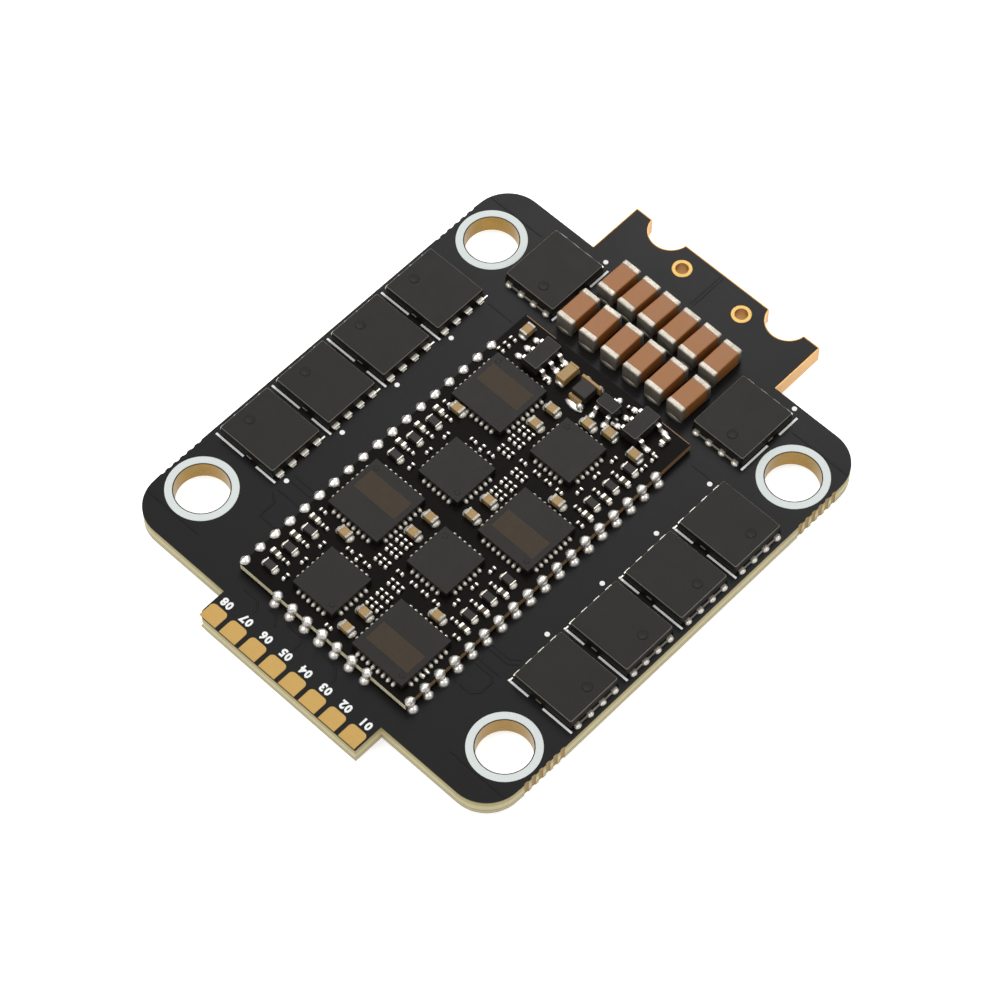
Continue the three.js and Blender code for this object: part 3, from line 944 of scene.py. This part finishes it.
def small_parts():
    """The small chips, by kind: a form along X, its material and its slot."""
    resistor = chip_form((0.58, 0.28, 0.21), 0.17, 0.08, end_kind=2, bevel=0.05, rise=0.8)
    tan = chip_form((1.05, 0.72, 0.5), 0.25, 0.3, bevel=0.04, rise=0.55)
    grey = chip_form((0.8, 0.42, 0.35), 0.24, 0.15, end_kind=2, bevel=0.03, rise=0.7)
    diode = chip_form((1.05, 0.62, 0.4), 0.1, 0.26, end_kind=2, bevel=0.03, rise=0.6)
    return {
        "resistor": (resistor, CHIP, "chip_package"),
        "tan": (tan, TAN, "tan_ceramic"),
        "grey": (grey, GREY_CERAMIC, "tan_ceramic"),
        "diode": (diode, FERRITE, "chip_package"),
    }


CELL_CENTRES_Y = (1.56, -11.24)  # each holds two channels, half a turn apart


def channel_parts(odd):
    """(kind, x, y, turn) of one channel's small parts, from the centre of its cell."""
    parts = [("tan", -1.02, 5.3, 0), ("tan", -1.05, 3.55, 0)]
    for x in (-1.55, -1.05, -0.55):
        for y in (2.57, 1.53, 0.4):
            parts.append(("resistor", x, y, 90))
    for k in range(3):
        parts.append(("diode", 6.58, 1.45 + 2 * k, 0))
        parts.append(("grey", 7.05, 0.46 + 1.98 * k, 0))
        parts.append(("resistor", 6.05, 0.46 + 1.98 * k, 0))
        parts.append(("resistor", 5.15, 1.62 + 1.84 * k, 90))
    parts.append(("resistor", 7.1, -0.4, 0))
    row = (0.52, 1.9, 3.0, 4.12) if odd else (1.65, 3.4)
    parts += [("resistor", x, 0.58, 0) for x in row]
    if not odd:
        parts.append(("resistor", 2.5, 0.6, 90))
    return parts


LOOSE_PARTS = (
    ("tan", 1.75, 7.75, 0), ("tan", -6.1, 2.1, 0), ("tan", 4.7, 1.35, 0),
    ("tan", -4.6, -11.1, 0), ("tan", 5.0, -11.4, 0),
    ("resistor", -0.05, -17.3, 0), ("resistor", 7.6, -15.3, 90), ("resistor", -3.15, 9.95, 90),
    ("resistor", -3.1, 8.45, 0), ("resistor", -7.45, 9.4, 0), ("resistor", -7.45, 8.75, 0),
    ("resistor", -7.45, 8.1, 0), ("resistor", 3.05, 10.95, 0), ("resistor", 2.95, 9.3, 90),
    ("resistor", 7.2, 8.95, 90), ("resistor", 7.2, 7.85, 90), ("resistor", 6.55, 6.95, 0),
    ("grey", 6.75, 10.6, 90), ("resistor", 6.7, 9.2, 0),
)


def make_small_parts():
    forms = small_parts()
    gathered = {kind: Form() for kind in forms}

    def drop(kind, x, y, turn):
        wobble = dice.uniform(-2.5, 2.5)
        gathered[kind].add(forms[kind][0], at(x, y, MODULE_TOP, turn + wobble))

    for middle in CELL_CENTRES_Y:
        for sign in (1, -1):
            for kind, x, y, turn in channel_parts(sign > 0):
                drop(kind, sign * x, middle + sign * y, turn + (0 if sign > 0 else 180))
    for part in LOOSE_PARTS:
        drop(*part)
    for kind, form in gathered.items():
        _, material, slot = forms[kind]
        make_piece(form, f"small_{kind}_chips", slot, [material, TIN, DULL_SOLDER])


# ---- Underside ----


def make_shunt():
    middle = node_centre("current_shunt")
    form = Form().add(block((4.6, 3.0, 0.5), 0.06, 0, 0, 2, 0.05))
    for side in (-1, 1):
        form.add(block((0.95, 3.2, 0.58), 0.06, 0, 1, 3, 0.02), at(side * 2.65, 0))
        blob(form, side * 3.12, 0, 0, 0.7, 3.3, 0.4, kind=2)
    placed = Form().add(form, at(middle.x, middle.y, UNDER, 90, True))
    make_piece(placed, "current_shunt_chip", "shunt_metal", [ALLOY, TIN, SOLDER], ["current_shunt"])


make_power_board()
make_tracks()
make_rings()
make_pads()
make_pin_numbers()
make_mosfets()
make_input_capacitors()
make_control_board()
make_half_hole_solder()
make_quads()
make_supply_parts()
make_small_parts()
make_shunt()

# ---- Stage: floor, light and camera ----


def make_floor():
    mesh = bpy.data.meshes.new("studio_floor")
    half = 3.0
    height = (FLOOR - 0.02) * MM
    corners = [(-half, -half, height), (half, -half, height), (half, half, height), (-half, half, height)]
    mesh.from_pydata(corners, [], [(0, 1, 2, 3)])
    floor = bpy.data.objects.new("studio_floor", mesh)
    bpy.context.scene.collection.objects.link(floor)
    material = finish("studio_paper", (0.86, 0.86, 0.86), 0.9, vary=0.01, speck=50, bump=0.05)
    shader = material.node_tree.nodes["Principled BSDF"]
    shader.inputs["Emission Color"].default_value = (1, 1, 1, 1)
    shader.inputs["Emission Strength"].default_value = 0.75
    mesh.materials.append(material)


def make_light(name, azimuth, elevation, distance, size, power, only_gleam=False):
    """A square soft box that looks at the origin. Sizes in metres, power in watts."""
    data = bpy.data.lights.new(name, "AREA")
    data.size = size
    data.energy = power
    lamp = bpy.data.objects.new(name, data)
    a, e = math.radians(azimuth), math.radians(elevation)
    back = Vector((math.sin(a) * math.cos(e), -math.cos(a) * math.cos(e), math.sin(e)))
    lamp.location = back * distance
    lamp.rotation_euler = back.to_track_quat("Z", "Y").to_euler()
    lamp.visible_diffuse = not only_gleam
    bpy.context.scene.collection.objects.link(lamp)


def make_world(strength):
    world = bpy.data.worlds.new("studio")
    world.use_nodes = True
    background = world.node_tree.nodes["Background"]
    background.inputs["Color"].default_value = (1, 1, 1, 1)
    background.inputs["Strength"].default_value = strength
    bpy.context.scene.world = world


def make_camera(azimuth, elevation, distance, aim, roll, lens):
    data = bpy.data.cameras.new("camera")
    data.sensor_width = 36
    data.lens = lens
    data.clip_start = 0.01
    data.clip_end = 20
    camera = bpy.data.objects.new("camera", data)
    a, e = math.radians(azimuth), math.radians(elevation)
    back = Vector((math.sin(a) * math.cos(e), -math.cos(a) * math.cos(e), math.sin(e)))
    turn = back.to_track_quat("Z", "Y").to_matrix().to_4x4() @ Matrix.Rotation(math.radians(roll), 4, "Z")
    camera.matrix_world = Matrix.Translation((Vector(aim) + back * distance) * MM) @ turn
    bpy.context.scene.collection.objects.link(camera)
    bpy.context.scene.camera = camera


make_floor()
make_world(0.42)
make_light("key", -20, 62, 0.6, 0.35, 1.2)
make_light("fill", 120, 50, 0.7, 0.4, 0.7)
make_light("back", 212, 44, 0.7, 0.3, 1.6)
make_light("gleam", 224, 60, 0.6, 0.55, 1.0, True)
make_camera(43.96, 59.11, 263.3, (1.13, -0.95, TOP), -0.251, 130.36)
bpy.context.scene.view_settings.view_transform = "Standard"
